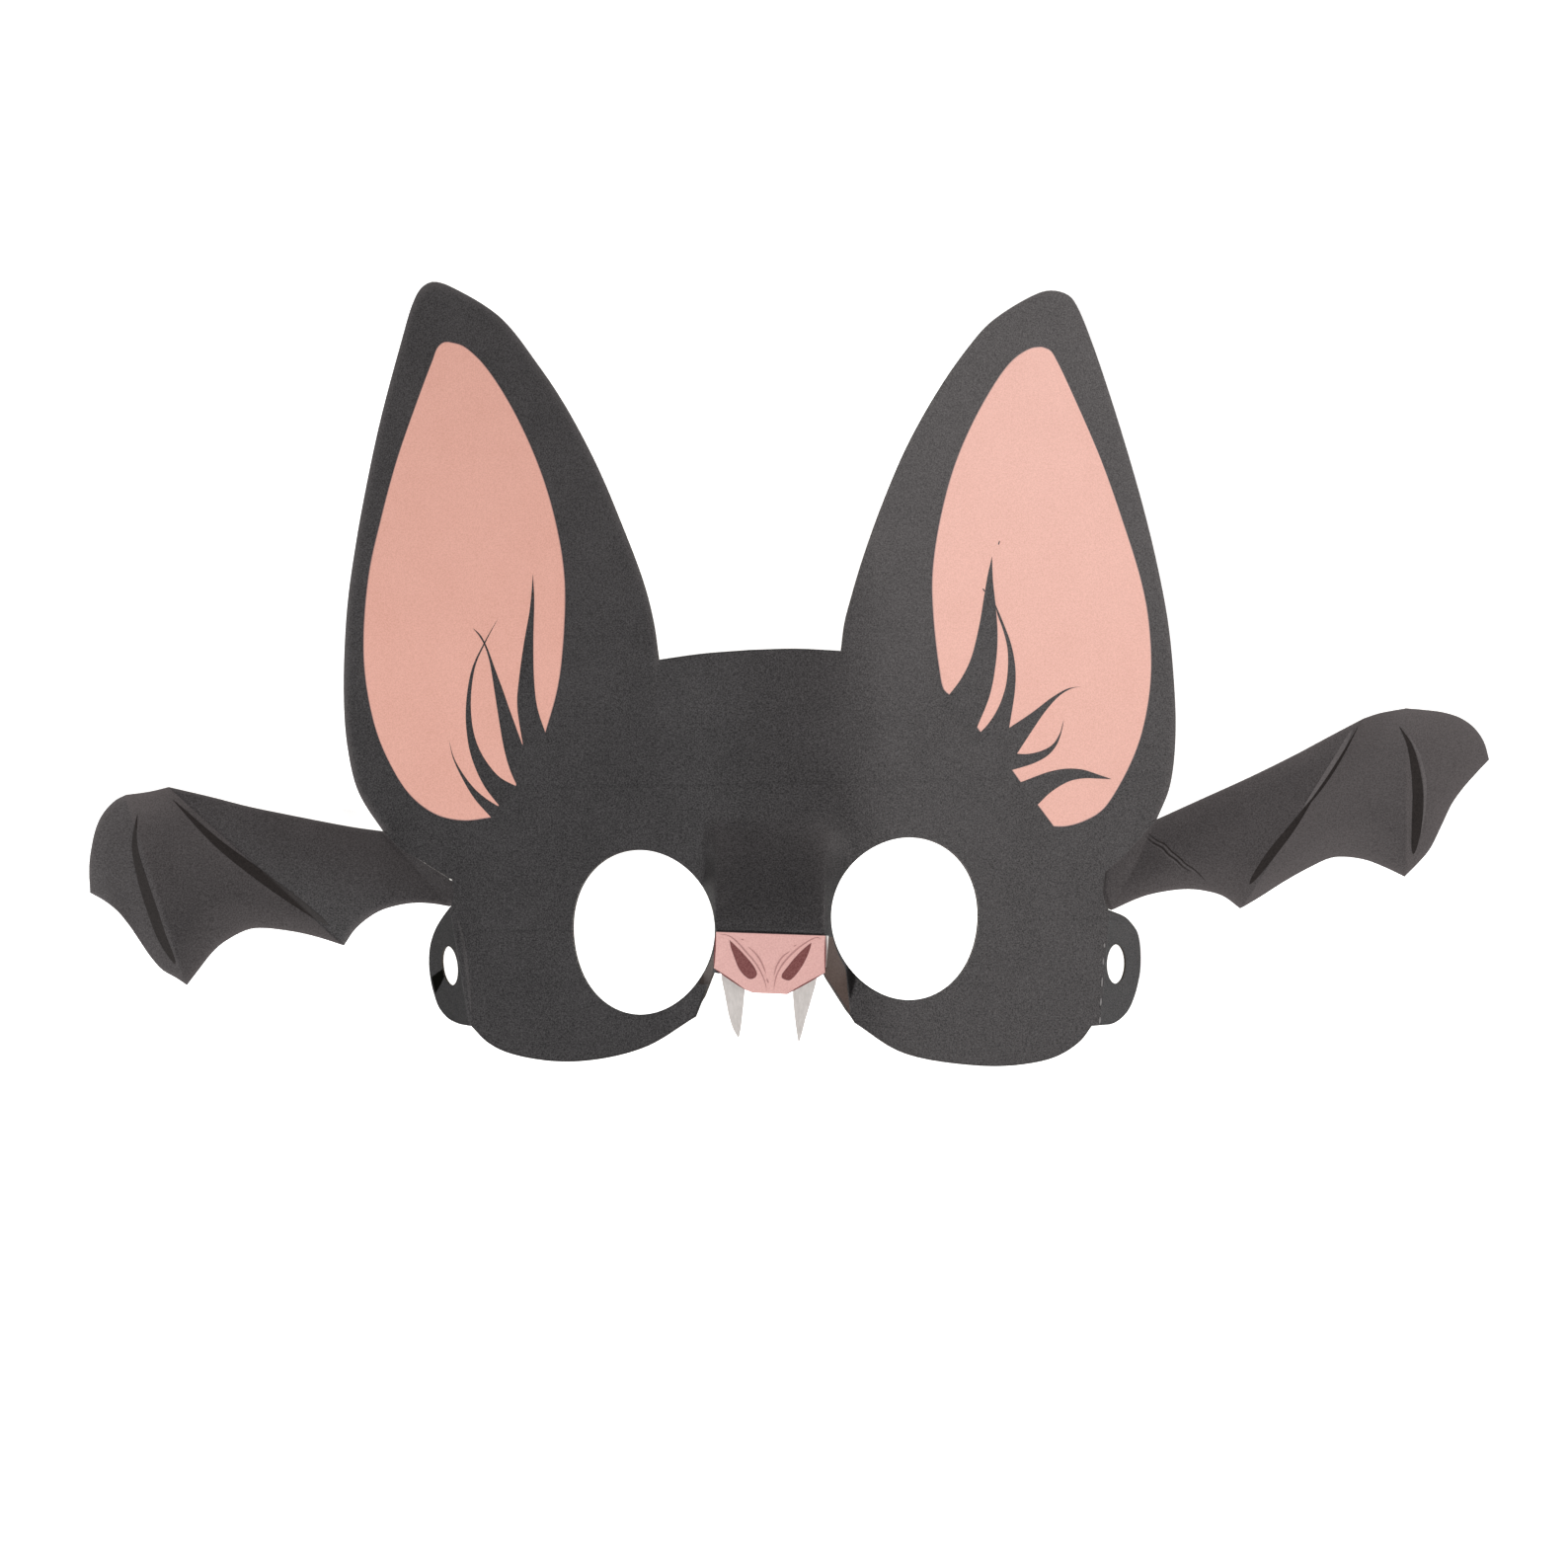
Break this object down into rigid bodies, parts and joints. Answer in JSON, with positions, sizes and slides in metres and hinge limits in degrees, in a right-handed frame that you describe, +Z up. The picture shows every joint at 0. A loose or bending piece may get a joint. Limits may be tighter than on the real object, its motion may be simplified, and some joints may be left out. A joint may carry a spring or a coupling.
{
  "type": "paper bat mask",
  "caption": "Bowed card half-mask of a bat: tall ears, cut-out eyes, creased side wings, folded tie tabs and a raised pink snout with fangs.",
  "frame": {"origin": "on the table, under the middle of the mask's box; the mask lies on its back with its front up", "axes": "+X to the viewer's right across the wings, +Y from the chin to the ear tips, +Z up out of the front of the mask"},
  "size_m": [0.3386, 0.1892, 0.0605],
  "materials": {
    "black_print": "satin black print on card",
    "pink_print": "satin pink print on card",
    "white_card": "bare matt card"
  },
  "bodies": {
    "root": {"face_card": "black_print", "tab_left": "black_print", "tab_right": "black_print", "wing_left": "black_print", "wing_right": "black_print", "snout": "pink_print", "fang_left": "white_card", "fang_right": "white_card"}
  },
  "joints": []
}
